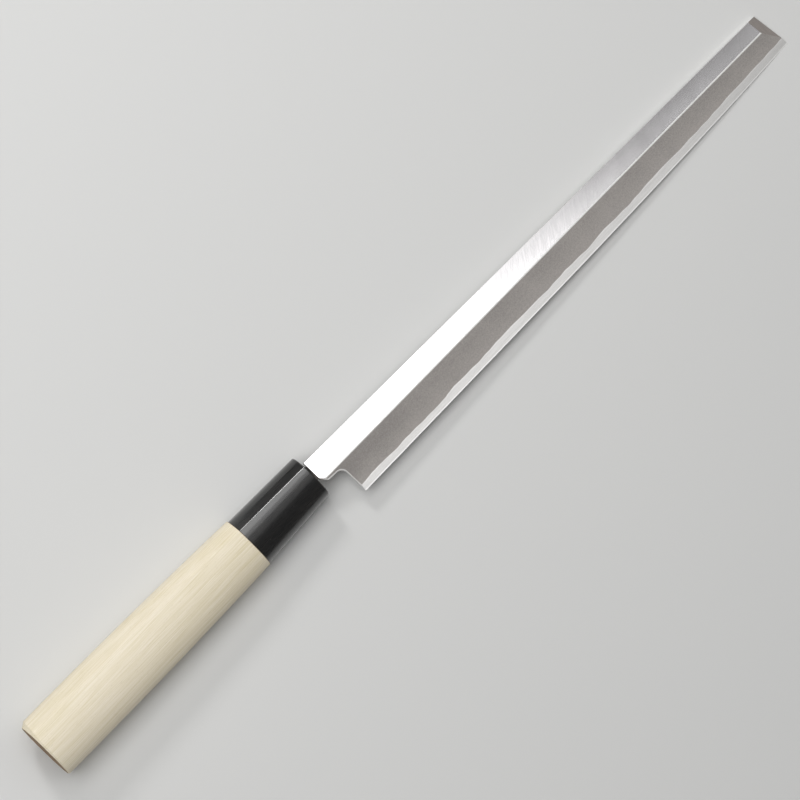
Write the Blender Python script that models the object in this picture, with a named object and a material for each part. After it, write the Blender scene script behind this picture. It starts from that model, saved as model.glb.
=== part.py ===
"""A takohiki: a long square-tipped slicing knife, ground on one side only.

The knife is modelled along X, with x = 0 on the front face of the ferrule, the tip towards +X, the spine
towards +Y, the edge towards -Y and the bevelled side of the blade up. One empty carries every piece and tips
the whole knife by a small angle, so that it lies as on a table, on its handle and on its tip. Lengths are in
metres.
"""

import math

import bmesh
import bpy
from mathutils import Matrix, Vector

# Blade in plan, measured from the shoulder that stops short of the ferrule
BLADE_LENGTH = 0.240  # heel to tip along the edge
NECK_LENGTH = 0.0096  # shoulder to heel
SHOULDER_GAP = 0.0014  # ferrule to shoulder, where the tang shows
SPINE_AT_NECK = 0.00575  # spine above the handle's centre line
SPINE_AT_TIP = 0.0010
WIDTH_AT_HEEL = 0.0244  # spine to edge
WIDTH_AT_TIP = 0.0162
FLAT_AT_HEEL = 0.0099  # spine to the ridge line where the bevel starts
FLAT_AT_TIP = 0.0064
EDGE_BELLY = 0.00095  # how far the edge swells past a straight line
BELLY_LEAN = 0.5  # moves the swelling towards the tip
TIP_LEAN = 0.0016  # the square end leans back from edge to spine

# Blade in thickness, measured up from its back
SPINE_THICK_AT_NECK = 0.0032
SPINE_THICK_AT_TIP = 0.0022
FLAT_LEAN = math.radians(0.6)  # the flat rises from the spine to the ridge line
SPINE_EASE = 0.00025
EDGE_BEVEL_WIDTH = 0.00045  # the small honed bevel along the edge
EDGE_BEVEL_RISE = 0.00016
TIP_BEVEL_LENGTH = 0.0035
TIP_END_THICK = 0.00076

# Neck and choil
NECK_DROP = 0.0057  # underside of the neck below the handle's centre line
NECK_DROP_AT_CHOIL = 0.0060
NECK_CORNER_LENGTH = 0.0021
NECK_CORNER_HEIGHT = 0.0029
CHOIL_RADIUS = 0.0027
HEEL_LEAN = 0.0004
CHOIL_EASE = 0.0004
CHOIL_EASE_SHARE = 1 / 3  # of the thickness, where the blade is too thin for the whole chamfer

# Hard steel layer behind the iron
STEEL_THICK = 0.00073
STEEL_START = 0.0030  # from the shoulder
WELD_WAVE = 0.00005  # the forged joint is never quite even
WELD_WAVE_LENGTH = 0.037
WELD_RIPPLE_LENGTH = 0.0135
WELD_GAP = 0.00002

# Hollow ground into the back
HOLLOW_DEPTH = 0.00033
RIM_AT_SPINE = 0.0013
RIM_AT_EDGE = 0.0015
RIM_AT_HEEL = 0.0030
RIM_AT_TIP = 0.0028
HOLLOW_RUN_OUT = 0.012
HOLLOW_OVERLAP = 1.1  # the cut goes on past the hollow's borders

# Tang
TANG_LENGTH = 0.098
TANG_WIDTH_AT_ROOT = 0.0070
TANG_WIDTH_AT_END = 0.0034
TANG_THICK_AT_ROOT = 0.0028
TANG_THICK_AT_END = 0.0017
TANG_RISE = 0.0008  # root above the handle's centre line
TANG_ROOT_DEPTH = 0.0018  # how far the tang runs on inside the neck

# Handle: half widths towards the spine (back) and the edge (belly), and half thickness
FERRULE_LENGTH = 0.0352
WOOD_LENGTH = 0.1117
FRONT_BACK = 0.0101
FRONT_BELLY = 0.0097
FRONT_HALF_THICK = 0.0082
JOINT_STEP = 0.0005  # the wood stands proud of the ferrule behind it
WOOD_FRONT_BACK = 0.0113
WOOD_FRONT_BELLY = 0.0121
WOOD_FRONT_HALF_THICK = 0.0097
BUTT_BACK = 0.0139
BUTT_BELLY = 0.0128
BUTT_HALF_THICK = 0.0109
WOOD_SWELL = 0.00055  # added to the two half widths in the middle of the wood
FACET_WIDTH = 0.0057  # finger ridge in from the spine side
CROWN_SHIFT = 0.0030  # the upper side is highest this far towards the spine
REST_ANGLE = math.radians(16)  # the underside is flat this far round from its middle, so the knife can't roll
RIDGE_EASE = 0.0004
FERRULE_EASE = 0.0004
WOOD_FRONT_EASE = 0.00025
BUTT_EASE = 0.0004
BUTT_BACK_EASE = 0.0015
BUTT_EASE_POWER = 4  # how late the chamfer widens on its way to the spine side
BUTT_EASE_SLANT = 1.5  # the chamfer is longer along the handle than it is deep
TENON_RADIUS = 0.0063
TENON_RECESS = 0.0003
SEAT_GAP = 0.0001  # ferrule to wood, all round
TANG_CLEARANCE = 0.0003
TANG_HOLE_EXTRA = 0.004

# Fineness
BLADE_STEP = 0.0045
WELD_STEP = 0.0018
HANDLE_CREASE = math.radians(25)
WOOD_STATIONS = 7
FERRULE_STATIONS = 4
CROWN_POINTS = 18
BELLY_POINTS = 14
BACK_POINTS = 20
ROUND_SEGMENTS = 48
ARC_POINTS = 9
HOLLOW_POINTS = 13
CUT_MARGIN = 0.002
WELD_DISTANCE = 0.000001

# Looks: base colour, metallic, roughness
IRON_LOOK = ((0.36, 0.35, 0.34), 1.0, 0.38)
STEEL_LOOK = ((0.66, 0.66, 0.65), 1.0, 0.22)
HORN_LOOK = ((0.012, 0.011, 0.011), 0.0, 0.16)
MAGNOLIA_LOOK = ((0.80, 0.73, 0.56), 0.0, 0.55)

BLADE_END = NECK_LENGTH + BLADE_LENGTH
SPINE_END = BLADE_END - TIP_LEAN
TENON_CENTRE = (FRONT_BACK - FRONT_BELLY) / 2
BACK_PLANE = -SPINE_THICK_AT_NECK / 2


def between(start, end, share):
    return start + (end - start) * share


def steps(start, end, count):
    return [between(start, end, i / (count - 1)) for i in range(count)]


# Lines and surfaces of the blade, at x from the shoulder

def spine_y(x):
    return between(SPINE_AT_NECK, SPINE_AT_TIP, x / SPINE_END)


def ridge_line_y(x):
    share = (x - NECK_LENGTH) / BLADE_LENGTH
    at_heel = spine_y(NECK_LENGTH) - FLAT_AT_HEEL
    at_tip = spine_y(BLADE_END) - FLAT_AT_TIP
    return between(at_heel, at_tip, share)


def edge_y(x):
    share = (x - NECK_LENGTH) / BLADE_LENGTH
    at_heel = spine_y(NECK_LENGTH) - WIDTH_AT_HEEL
    at_tip = spine_y(SPINE_END) - WIDTH_AT_TIP
    swell = 4 * share * (1 - share) * (1 + BELLY_LEAN * (2 * share - 1))
    return between(at_heel, at_tip, share) - EDGE_BELLY * max(swell, 0)


def flat_height(x, y):
    """Height of the flat that runs along the spine, a true plane."""
    spine = between(SPINE_THICK_AT_NECK, SPINE_THICK_AT_TIP, x / SPINE_END)
    return spine + math.tan(FLAT_LEAN) * (spine_y(x) - y)


def surface_height(x, y):
    """Height of the bevelled side: the flat above the ridge line, the bevel below it."""
    ridge = ridge_line_y(x)
    if y >= ridge:
        return flat_height(x, y)
    foot = edge_y(x) + EDGE_BEVEL_WIDTH
    return between(EDGE_BEVEL_RISE, flat_height(x, ridge), (y - foot) / (ridge - foot))


def weld_height(x):
    wave = math.sin(math.tau * x / WELD_WAVE_LENGTH) + math.sin(math.tau * x / WELD_RIPPLE_LENGTH) / 2
    return STEEL_THICK + WELD_WAVE * wave


# Building blocks

def material(name, colour, metallic, roughness):
    made = bpy.data.materials.new(name)
    made.use_nodes = True
    shader = made.node_tree.nodes["Principled BSDF"]
    shader.inputs["Base Color"].default_value = (*colour, 1.0)
    shader.inputs["Metallic"].default_value = metallic
    shader.inputs["Roughness"].default_value = roughness
    made.diffuse_color = (*colour, 1.0)
    made.metallic = metallic
    made.roughness = roughness
    return made


def collection(name):
    made = bpy.data.collections.new(name)
    bpy.context.scene.collection.children.link(made)
    return made


def add_object(name, mesh, group, parent, location):
    made = bpy.data.objects.new(name, mesh)
    group.objects.link(made)
    made.parent = parent
    made.location = location
    return made


def shade_round(piece):
    """Smooth shading for a rounded piece, led by its large faces along the cuts."""
    piece.data.shade_smooth()
    piece.data.set_sharp_from_angle(angle=HANDLE_CREASE)
    shading = piece.modifiers.new("shading", "WEIGHTED_NORMAL")
    shading.keep_sharp = True


def make_cutter(piece):
    piece.hide_render = True
    piece.display_type = "WIRE"
    return piece


def finish_mesh(name, shape):
    bmesh.ops.recalc_face_normals(shape, faces=shape.faces)
    mesh = bpy.data.meshes.new(name)
    shape.to_mesh(mesh)
    shape.free()
    return mesh


def loft(rings):
    """A closed skin over rings of points that all have the same count."""
    shape = bmesh.new()
    loops = [[shape.verts.new(point) for point in ring] for ring in rings]
    count = len(loops[0])
    for near, far in zip(loops, loops[1:]):
        for i in range(count):
            j = (i + 1) % count
            shape.faces.new((near[i], near[j], far[j], far[i]))
    shape.faces.new(reversed(loops[0]))
    shape.faces.new(loops[-1])
    return shape


def slice_off(shape, point, normal):
    """Removes what lies beyond a plane and closes the cut."""
    everything = shape.verts[:] + shape.edges[:] + shape.faces[:]
    cut = bmesh.ops.bisect_plane(shape, geom=everything, plane_co=point, plane_no=normal, clear_outer=True)
    rim = [item for item in cut["geom_cut"] if isinstance(item, bmesh.types.BMEdge)]
    bmesh.ops.contextual_create(shape, geom=rim)


def cut_by(piece, cutter, operation="DIFFERENCE"):
    step = piece.modifiers.new(cutter.name, "BOOLEAN")
    step.operation = operation
    step.solver = "EXACT"
    step.object = cutter


def mesh_from_curve(curve, name):
    """The welded mesh of a curve, which a Boolean can use."""
    holder = bpy.data.objects.new(name, curve)
    bpy.context.scene.collection.objects.link(holder)
    bpy.context.view_layer.update()
    evaluated = holder.evaluated_get(bpy.context.evaluated_depsgraph_get())
    mesh = bpy.data.meshes.new_from_object(evaluated)
    bpy.data.objects.remove(holder)
    bpy.data.curves.remove(curve)
    shape = bmesh.new()
    shape.from_mesh(mesh)
    bmesh.ops.remove_doubles(shape, verts=shape.verts, dist=WELD_DISTANCE)
    bmesh.ops.recalc_face_normals(shape, faces=shape.faces)
    shape.to_mesh(mesh)
    shape.free()
    mesh.name = name
    return mesh


# Blade

def blade_ring(x):
    spine = spine_y(x)
    ridge = ridge_line_y(x)
    edge = edge_y(x)
    outline = [
        (spine - SPINE_EASE, 0),
        (spine, SPINE_EASE),
        (spine, flat_height(x, spine) - SPINE_EASE),
        (spine - SPINE_EASE, flat_height(x, spine - SPINE_EASE)),
        (ridge, flat_height(x, ridge)),
        (edge + EDGE_BEVEL_WIDTH, EDGE_BEVEL_RISE),
        (edge, 0),
    ]
    return [Vector((x, y, z)) for y, z in outline]


def blade_blank():
    """The full section from shoulder to tip, with its square end and the short bevel behind it."""
    reach = BLADE_END + CUT_MARGIN
    shape = loft([blade_ring(x) for x in steps(0, reach, round(reach / BLADE_STEP) + 1)])
    edge_corner = Vector((BLADE_END, edge_y(BLADE_END), 0))
    spine_corner = Vector((SPINE_END, spine_y(SPINE_END), 0))
    along_end = spine_corner - edge_corner
    outward = along_end.cross(Vector((0, 0, 1)))
    slice_off(shape, edge_corner, outward)

    back = outward.normalized() * TIP_BEVEL_LENGTH
    low = spine_corner + Vector((0, 0, TIP_END_THICK))
    high = spine_corner - back
    high.z = flat_height(high.x, high.y)
    bevel_normal = along_end.cross(low - high)
    if bevel_normal.z < 0:
        bevel_normal.negate()
    slice_off(shape, low, bevel_normal)
    return finish_mesh("blade_blank", shape)


def notch_outline():
    """The edge of the steel from the shoulder, under the neck and round the choil to the heel."""
    arc_centre = Vector((NECK_LENGTH - HEEL_LEAN - CHOIL_RADIUS, -NECK_DROP_AT_CHOIL - CHOIL_RADIUS))
    outline = [
        Vector((0, NECK_CORNER_HEIGHT - NECK_DROP)),
        Vector((NECK_CORNER_LENGTH, -NECK_DROP)),
    ]
    for angle in steps(0, math.pi / 2, ARC_POINTS):
        outline.append(arc_centre + CHOIL_RADIUS * Vector((math.sin(angle), math.cos(angle))))
    outline.append(Vector((NECK_LENGTH, edge_y(NECK_LENGTH))))
    return outline


def beyond(start, end, distance):
    """A point past the end of the stretch from start to end."""
    return end + (end - start).normalized() * distance


def notch_mesh():
    outline = notch_outline()
    first = beyond(outline[1], outline[0], CUT_MARGIN)
    last = beyond(outline[-2], outline[-1], CUT_MARGIN)
    corners = [first, *outline, last, Vector((first.x, last.y))]
    curve = bpy.data.curves.new("notch", "CURVE")
    curve.dimensions = "2D"
    curve.fill_mode = "BOTH"
    curve.extrude = SPINE_THICK_AT_NECK + CUT_MARGIN
    spline = curve.splines.new("POLY")
    spline.points.add(len(corners) - 1)
    for point, corner in zip(spline.points, corners):
        point.co = (corner.x, corner.y, 0, 1)
    spline.use_cyclic_u = True
    return mesh_from_curve(curve, "notch")


def choil_ease_mesh():
    """A square rod along the upper corner of neck and choil, which leaves a chamfer there."""
    outline = notch_outline()
    wall_top, wall_foot = outline[-2], outline[-1]
    wall = [wall_top.lerp(wall_foot, share) for share in steps(0, 1, ARC_POINTS)]
    path = [beyond(outline[1], outline[0], CUT_MARGIN), *outline[:-2], *wall]
    path.append(beyond(wall_top, wall_foot, CUT_MARGIN))
    curve = bpy.data.curves.new("choil_ease", "CURVE")
    curve.dimensions = "3D"
    curve.twist_mode = "Z_UP"
    curve.bevel_depth = CHOIL_EASE
    curve.bevel_resolution = 0
    curve.use_fill_caps = True
    spline = curve.splines.new("POLY")
    spline.points.add(len(path) - 1)
    for point, spot in zip(spline.points, path):
        height = max(surface_height(spot.x, spot.y), EDGE_BEVEL_RISE)
        point.co = (spot.x, spot.y, height, 1)
        point.radius = min(1, height * CHOIL_EASE_SHARE / CHOIL_EASE)
    return mesh_from_curve(curve, "choil_ease")


def weld_mesh(name, start, drop):
    """A slab under the blade with the wavy forged joint as its top."""
    end = BLADE_END + 2 * CUT_MARGIN
    side = WIDTH_AT_HEEL + SPINE_AT_NECK
    rings = []
    for x in steps(start, end, round((end - start) / WELD_STEP) + 1):
        top = weld_height(x) - drop
        rings.append([
            Vector((x, -side, -CUT_MARGIN)),
            Vector((x, side, -CUT_MARGIN)),
            Vector((x, side, top)),
            Vector((x, -side, top)),
        ])
    return finish_mesh(name, loft(rings))


def hollow_mesh():
    """The shallow hollow of the back, rounded at both ends, with a rim left all round."""
    start = NECK_LENGTH + RIM_AT_HEEL
    end = BLADE_END - RIM_AT_TIP
    turns = steps(0, math.pi / 2, ARC_POINTS)[1:]
    stations = [(start + HOLLOW_RUN_OUT * (1 - math.cos(turn)), math.sin(turn)) for turn in turns]
    middle_count = round((end - start - 2 * HOLLOW_RUN_OUT) / BLADE_STEP)
    inner = steps(start + HOLLOW_RUN_OUT, end - HOLLOW_RUN_OUT, middle_count + 1)[1:-1]
    stations += [(x, 1) for x in inner]
    stations += [(end - HOLLOW_RUN_OUT * (1 - math.cos(turn)), math.sin(turn)) for turn in reversed(turns)]
    widest = spine_y(NECK_LENGTH) - edge_y(NECK_LENGTH) - RIM_AT_SPINE - RIM_AT_EDGE
    rings = []
    for x, fullness in stations:
        high = spine_y(x) - RIM_AT_SPINE
        low = edge_y(x) + RIM_AT_EDGE
        centre = (high + low) / 2
        half = (high - low) / 2 * fullness
        depth = HOLLOW_DEPTH * (2 * half / widest) ** 2
        ring = [Vector((x, centre - half * HOLLOW_OVERLAP, -CUT_MARGIN))]
        for share in steps(-HOLLOW_OVERLAP, HOLLOW_OVERLAP, HOLLOW_POINTS):
            ring.append(Vector((x, centre + half * share, depth * (1 - share * share))))
        ring.append(Vector((x, centre + half * HOLLOW_OVERLAP, -CUT_MARGIN)))
        rings.append(ring)
    return finish_mesh("hollow", loft(rings))


def tang_rings(clearance, end_clearance):
    """Two rectangles that taper to the rear, from inside the neck to the tang's end."""
    middle = SPINE_THICK_AT_NECK / 2
    root = (TANG_ROOT_DEPTH, TANG_WIDTH_AT_ROOT, TANG_THICK_AT_ROOT, TANG_RISE)
    tail = (-TANG_LENGTH - end_clearance, TANG_WIDTH_AT_END, TANG_THICK_AT_END, 0)
    rings = []
    for x, width, thick, rise in (root, tail):
        half_width = width / 2 + clearance
        half_thick = thick / 2 + clearance
        corners = ((-1, -1), (1, -1), (1, 1), (-1, 1))
        rings.append([Vector((x, rise + a * half_width, middle + b * half_thick)) for a, b in corners])
    return rings


def build_blade(parts, cutters, knife):
    place = Vector((SHOULDER_GAP, 0, BACK_PLANE))
    blank = blade_blank()
    iron = add_object("blade_iron", blank, parts, knife, place)
    steel = add_object("blade_steel", blank.copy(), parts, knife, place)

    def cutter(name, mesh):
        return make_cutter(add_object(name, mesh, cutters, knife, place))

    notch = cutter("notch", notch_mesh())
    ease = cutter("choil_ease", choil_ease_mesh())
    for piece in (iron, steel):
        cut_by(piece, notch)
        cut_by(piece, ease)
    cut_by(iron, cutter("steel_bed", weld_mesh("steel_bed", STEEL_START, 0)))
    cut_by(iron, cutter("tang", finish_mesh("tang", loft(tang_rings(0, 0)))), "UNION")
    layer = weld_mesh("steel_layer", STEEL_START + WELD_GAP, WELD_GAP)
    cut_by(steel, cutter("steel_layer", layer), "INTERSECT")
    cut_by(steel, cutter("hollow", hollow_mesh()))
    iron.data.materials.append(material("iron", *IRON_LOOK))
    steel.data.materials.append(material("steel", *STEEL_LOOK))


# Handle

def back_touch(ridge, back, half_thick):
    """Angle at which a straight line from the ridge touches the oval on the spine side."""
    across = ridge.x / back
    up = ridge.y / half_thick
    return math.atan2(up, across) - math.acos(1 / math.hypot(across, up))


def handle_section(back, belly, half_thick):
    """Points (y, z) of an oval, crowned above, with a finger ridge and a flat behind it."""
    across = back - FACET_WIDTH
    reach = belly + CROWN_SHIFT
    start = math.acos((across - CROWN_SHIFT) / reach)
    ridge = Vector((across, half_thick * math.sin(start)))

    def on_crown(angle):
        return Vector((CROWN_SHIFT + reach * math.cos(angle), half_thick * math.sin(angle)))

    def on_oval(angle):
        half_width = back if math.cos(angle) > 0 else belly
        height = half_thick if math.sin(angle) > 0 else half_thick / math.cos(REST_ANGLE)
        return Vector((half_width * math.cos(angle), height * math.sin(angle)))

    lowest = math.tau * 3 / 4
    stop = back_touch(ridge, back, half_thick) + math.tau
    crown = [on_crown(angle) for angle in steps(start + RIDGE_EASE / reach, math.pi, CROWN_POINTS)]
    sides = [on_oval(angle) for angle in steps(math.pi, lowest - REST_ANGLE, BELLY_POINTS)]
    sides += [on_oval(angle) for angle in steps(lowest + REST_ANGLE, stop, BACK_POINTS)]
    from_back = ridge + (sides[-1] - ridge).normalized() * RIDGE_EASE
    crest = (from_back + crown[0]) / 4 + ridge / 2
    return [from_back, crest, *crown[:-1], *sides]


def eased_end(section, x, inward, ease_at, slant=1):
    """Two rings that close a handle end with a chamfer: one where it starts, one on the face."""
    outer, inner = [], []
    for point in section:
        ease = ease_at(point)
        outer.append(Vector((x + inward * ease * slant, point.x, point.y)))
        drawn = point - point.normalized() * ease
        inner.append(Vector((x, drawn.x, drawn.y)))
    return outer, inner


def ring_at(section, x):
    return [Vector((x, point.x, point.y)) for point in section]


def ferrule_shape():
    sizes = [
        (
            between(-FERRULE_LENGTH, 0, share),
            between(WOOD_FRONT_BACK - JOINT_STEP, FRONT_BACK, share),
            between(WOOD_FRONT_BELLY - JOINT_STEP, FRONT_BELLY, share),
            between(WOOD_FRONT_HALF_THICK - JOINT_STEP, FRONT_HALF_THICK, share),
        )
        for share in steps(0, 1, FERRULE_STATIONS)
    ]
    rings = [ring_at(handle_section(*size), x) for x, *size in sizes[:-1]]
    front, *front_size = sizes[-1]
    rings += eased_end(handle_section(*front_size), front, -1, lambda point: FERRULE_EASE)
    return rings


def butt_ease(point):
    """Wider on the spine side, where the hand would meet a sharp corner."""
    share = (point.x + BUTT_BELLY) / (BUTT_BACK + BUTT_BELLY)
    return between(BUTT_EASE, BUTT_BACK_EASE, min(max(share, 0), 1) ** BUTT_EASE_POWER)


def wood_shape():
    sizes = []
    for share in steps(0, 1, WOOD_STATIONS):
        swell = 4 * WOOD_SWELL * share * (1 - share)
        sizes.append((
            between(-WOOD_LENGTH, 0, share),
            between(BUTT_BACK, WOOD_FRONT_BACK, share) + swell,
            between(BUTT_BELLY, WOOD_FRONT_BELLY, share) + swell,
            between(BUTT_HALF_THICK, WOOD_FRONT_HALF_THICK, share),
        ))
    butt, *butt_size = sizes[0]
    outer, inner = eased_end(handle_section(*butt_size), butt, 1, butt_ease, BUTT_EASE_SLANT)
    rings = [inner, outer]
    rings += [ring_at(handle_section(*size), x) for x, *size in sizes[1:-1]]
    front, *front_size = sizes[-1]
    rings += eased_end(handle_section(*front_size), front, -1, lambda point: WOOD_FRONT_EASE)
    return rings


def rod(name, radius, length, group, parent, location):
    """A round bar along X, from its location forwards."""
    bpy.ops.mesh.primitive_cylinder_add(vertices=ROUND_SEGMENTS, radius=radius, depth=length)
    made = bpy.context.active_object
    made.name = name
    made.data.transform(Matrix.Translation((length / 2, 0, 0)) @ Matrix.Rotation(math.pi / 2, 4, "Y"))
    for holder in list(made.users_collection):
        holder.objects.unlink(made)
    group.objects.link(made)
    made.parent = parent
    made.location = location
    return make_cutter(made)


def build_handle(parts, cutters, knife):
    wood_front = -FERRULE_LENGTH - SEAT_GAP
    ferrule = add_object("ferrule", finish_mesh("ferrule", loft(ferrule_shape())), parts, knife, (0, 0, 0))
    bore_start = Vector((-FERRULE_LENGTH - CUT_MARGIN, TENON_CENTRE, 0))
    bore = rod("bore", TENON_RADIUS + SEAT_GAP, FERRULE_LENGTH + 2 * CUT_MARGIN, cutters, knife, bore_start)
    cut_by(ferrule, bore)

    wood_mesh = finish_mesh("handle", loft(wood_shape()))
    handle = add_object("handle", wood_mesh, parts, knife, (wood_front, 0, 0))
    tenon_start = Vector((wood_front - CUT_MARGIN, TENON_CENTRE, 0))
    tenon_length = -TENON_RECESS - tenon_start.x
    cut_by(handle, rod("tenon", TENON_RADIUS, tenon_length, cutters, knife, tenon_start), "UNION")
    hole_mesh = finish_mesh("tang_hole", loft(tang_rings(TANG_CLEARANCE, TANG_HOLE_EXTRA)))
    hole_place = Vector((SHOULDER_GAP, 0, BACK_PLANE))
    cut_by(handle, make_cutter(add_object("tang_hole", hole_mesh, cutters, knife, hole_place)))
    ferrule.data.materials.append(material("horn", *HORN_LOOK))
    handle.data.materials.append(material("magnolia", *MAGNOLIA_LOOK))
    shade_round(ferrule)
    shade_round(handle)


# The knife on the table

def lying_angle():
    """The tilt at which the knife rests on its tip and on the lowest part of its handle."""
    tip = SHOULDER_GAP + BLADE_END
    butt_chamfer = BUTT_EASE_SLANT * butt_ease(Vector((0, -BUTT_HALF_THICK)))
    supports = [
        (-FERRULE_EASE, FRONT_HALF_THICK),
        (-FERRULE_LENGTH, WOOD_FRONT_HALF_THICK - JOINT_STEP),
        (-FERRULE_LENGTH - SEAT_GAP - WOOD_FRONT_EASE, WOOD_FRONT_HALF_THICK),
        (-FERRULE_LENGTH - SEAT_GAP - WOOD_LENGTH + butt_chamfer, BUTT_HALF_THICK),
    ]
    return max(math.atan2(drop + BACK_PLANE, tip - x) for x, drop in supports)


def set_down(parts, knife):
    """Tilts the knife and moves it so that the middle of its footprint is the origin."""
    knife.rotation_euler.y = lying_angle()
    bpy.context.view_layer.update()
    graph = bpy.context.evaluated_depsgraph_get()
    spots = []
    for piece in parts.objects:
        seen = piece.evaluated_get(graph)
        mesh = seen.to_mesh()
        spots += [seen.matrix_world @ vertex.co for vertex in mesh.vertices]
        seen.to_mesh_clear()
    low = Vector([min(spot[i] for spot in spots) for i in range(3)])
    high = Vector([max(spot[i] for spot in spots) for i in range(3)])
    knife.location = -Vector(((low.x + high.x) / 2, (low.y + high.y) / 2, low.z))
    bpy.context.view_layer.update()


def main():
    for item in list(bpy.data.objects):
        bpy.data.objects.remove(item)
    parts = collection("takohiki")
    cutters = collection("cutters")
    knife = bpy.data.objects.new("knife", None)
    bpy.context.scene.collection.objects.link(knife)
    build_blade(parts, cutters, knife)
    build_handle(parts, cutters, knife)
    set_down(parts, knife)


main()
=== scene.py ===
import math

import bmesh
import bpy
from mathutils import Matrix, Vector


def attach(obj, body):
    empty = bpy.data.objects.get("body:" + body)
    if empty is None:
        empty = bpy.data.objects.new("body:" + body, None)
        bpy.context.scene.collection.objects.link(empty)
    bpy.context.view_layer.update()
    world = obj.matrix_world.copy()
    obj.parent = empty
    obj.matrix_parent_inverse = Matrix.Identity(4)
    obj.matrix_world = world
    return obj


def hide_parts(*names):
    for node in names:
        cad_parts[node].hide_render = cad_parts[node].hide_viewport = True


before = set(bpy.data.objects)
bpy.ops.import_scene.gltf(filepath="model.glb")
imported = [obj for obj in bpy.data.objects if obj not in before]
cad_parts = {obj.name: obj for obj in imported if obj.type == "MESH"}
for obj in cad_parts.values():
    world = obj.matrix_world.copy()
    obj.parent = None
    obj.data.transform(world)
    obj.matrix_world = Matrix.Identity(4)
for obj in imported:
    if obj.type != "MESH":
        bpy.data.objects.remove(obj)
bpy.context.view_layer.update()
print("frame loaded:", ", ".join(sorted(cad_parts)))

# Everything is drawn in the knife's own frame and laid on the table at the end: x from the front of the
# ferrule towards the tip, y towards the spine, z up out of the bevelled side.
table = {
    "knifeAt": (-0.0518095, 0.0024715, 0.0086917),
    "tilt": math.radians(1.619167),
}
toTable = Matrix.Translation(table["knifeAt"]) @ Matrix.Rotation(table["tilt"], 4, "Y")
margin = 0.002  # how far a cutting tool reaches past what it cuts


def mix(a, b, share):
    return a + (b - a) * share


def spread(a, b, count):
    return [mix(a, b, i / (count - 1)) for i in range(count)]


def quarterTurn(count):
    return spread(0, math.pi / 2, count)


def bend(start, corner, end, count):
    # a soft curve from start to end that leans into the corner
    return [start.lerp(corner, share).lerp(corner.lerp(end, share), share) for share in spread(0, 1, count)]


def closeUp(bm):
    bmesh.ops.holes_fill(bm, edges=[edge for edge in bm.edges if edge.is_boundary])
    bmesh.ops.recalc_face_normals(bm, faces=bm.faces)
    return bm


def pullThrough(sections):
    # the first section is a drawn face, and the others are pulled out of it one after another
    bm = bmesh.new()
    face = bm.faces.new([bm.verts.new(spot) for spot in sections[0]])
    for section in sections[1:]:
        face = bmesh.ops.extrude_discrete_faces(bm, faces=[face])["faces"][0]
        for vert, spot in zip(face.verts, section):
            vert.co = spot
    return closeUp(bm)


def planeOff(bm, spot, outward):
    # takes away what lies beyond a plane
    everything = bm.verts[:] + bm.edges[:] + bm.faces[:]
    bmesh.ops.bisect_plane(bm, geom=everything, plane_co=spot, plane_no=outward, clear_outer=True)
    return closeUp(bm)


def addObject(name, data):
    made = bpy.data.objects.new(name, data)
    bpy.context.scene.collection.objects.link(made)
    return made


def makePiece(name, bm):
    mesh = bpy.data.meshes.new(name)
    bm.to_mesh(mesh)
    bm.free()
    return addObject(name, mesh)


def carve(piece, bm, operation="DIFFERENCE"):
    tool = makePiece("tool", bm)
    step = piece.modifiers.new("carve", "BOOLEAN")
    step.operation = operation
    step.object = tool
    bpy.context.view_layer.update()
    carved = bpy.data.meshes.new_from_object(piece.evaluated_get(bpy.context.evaluated_depsgraph_get()))
    piece.modifiers.clear()
    piece.data = carved
    bpy.data.objects.remove(tool)


def finishPiece(piece, node, crease, materials, lookOf):
    # materials by face, crisp edges, and the piece goes from the knife's frame to the table
    mesh = piece.data
    mesh.name = piece.name
    mesh.materials.clear()
    for made in materials.values():
        mesh.materials.append(made)
    looks = list(materials)
    for face in mesh.polygons:
        face.material_index = looks.index(lookOf(face.center, face.normal))
    mesh.shade_smooth()
    mesh.set_sharp_from_angle(angle=crease)
    mesh.transform(toTable)
    shading = piece.modifiers.new("shading", "WEIGHTED_NORMAL")
    shading.keep_sharp = True
    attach(piece, "root")
    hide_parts(node)
    print("made", piece.name, len(mesh.polygons), "faces")


def plug(tree, socket, value):
    # links a socket, or sets a colour or a plain value on it
    if isinstance(value, bpy.types.NodeSocket):
        tree.links.new(value, socket)
    elif socket.type == "RGBA":
        socket.default_value = (*value, 1.0)
    else:
        socket.default_value = value


def addNode(tree, kind, values=None, **settings):
    made = tree.nodes.new("ShaderNode" + kind)
    for name, value in settings.items():
        setattr(made, name, value)
    for name, value in (values or {}).items():
        plug(tree, made.inputs[name], value)
    return made


def calc(tree, operation, *values):
    return addNode(tree, "Math", dict(enumerate(values)), operation=operation).outputs[0]


def vectorCalc(tree, operation, values):
    return addNode(tree, "VectorMath", values, operation=operation).outputs[0]


def total(tree, first, *others):
    for other in others:
        first = calc(tree, "ADD", first, other)
    return first


def axis(tree, coords, letter):
    return addNode(tree, "SeparateXYZ", {"Vector": coords}).outputs[letter]


def fade(tree, value, low, high, outLow=0.0, outHigh=1.0):
    limits = {"From Min": low, "From Max": high, "To Min": outLow, "To Max": outHigh}
    return addNode(tree, "MapRange", {"Value": value, **limits}).outputs["Result"]


def vary(tree, noise, outLow, outHigh):
    # nearly all of a noise lies between 0.3 and 0.7
    return fade(tree, noise, 0.3, 0.7, outLow, outHigh)


def blendColours(tree, share, first, second):
    made = addNode(tree, "Mix", data_type="RGBA")
    # a Mix node has all its kinds of socket at once: 0 is the factor, and 6 and 7 are the two colours
    for place, value in ((0, share), (6, first), (7, second)):
        plug(tree, made.inputs[place], value)
    return made.outputs[2]


def shade(colour, level):
    # the same colour, darker below a level of 1 and lighter above it
    return tuple(level * part for part in colour)


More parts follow.
